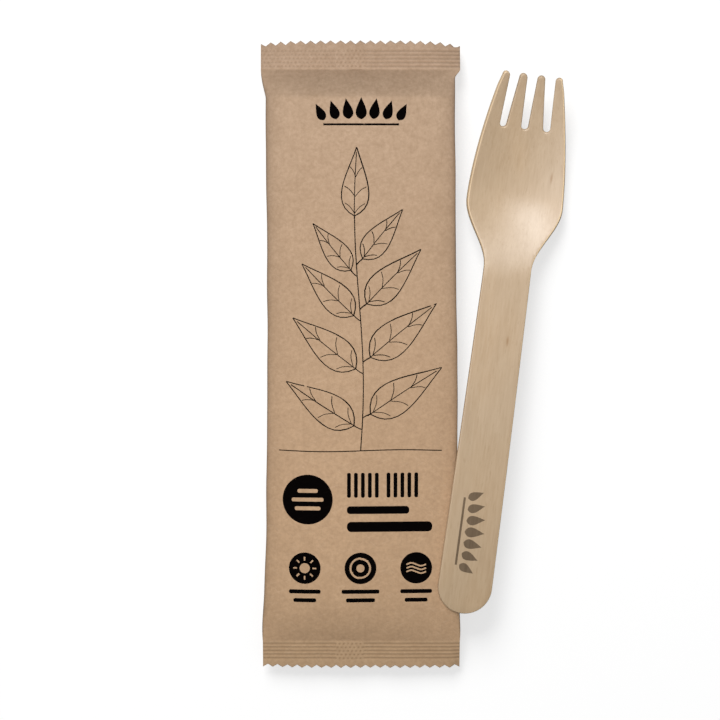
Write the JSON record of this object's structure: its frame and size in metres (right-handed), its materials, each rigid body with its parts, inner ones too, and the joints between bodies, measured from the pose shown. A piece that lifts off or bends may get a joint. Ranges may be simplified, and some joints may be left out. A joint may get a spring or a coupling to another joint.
{
  "type": "pack of wooden forks",
  "caption": "Sealed kraft paper flow-wrap pack of wooden forks lying on its back, with a loose wooden fork leaning on its side.",
  "frame": {"origin": "middle of the pack's underside, where its folded back seam lies on the table", "axes": "+Y along the pack towards its top end, +Z out of its printed front, +X to its right, on the loose fork's side"},
  "size_m": [0.0896, 0.1864, 0.0121],
  "materials": {
    "kraft_paper": "uncoated kraft paper with matt black print",
    "black_ink": "matt black flexographic ink on the kraft paper",
    "birch_veneer": "sanded bare birch veneer"
  },
  "bodies": {
    "root": {"paper_pack": "kraft_paper", "wooden_fork": "birch_veneer"}
  },
  "joints": []
}
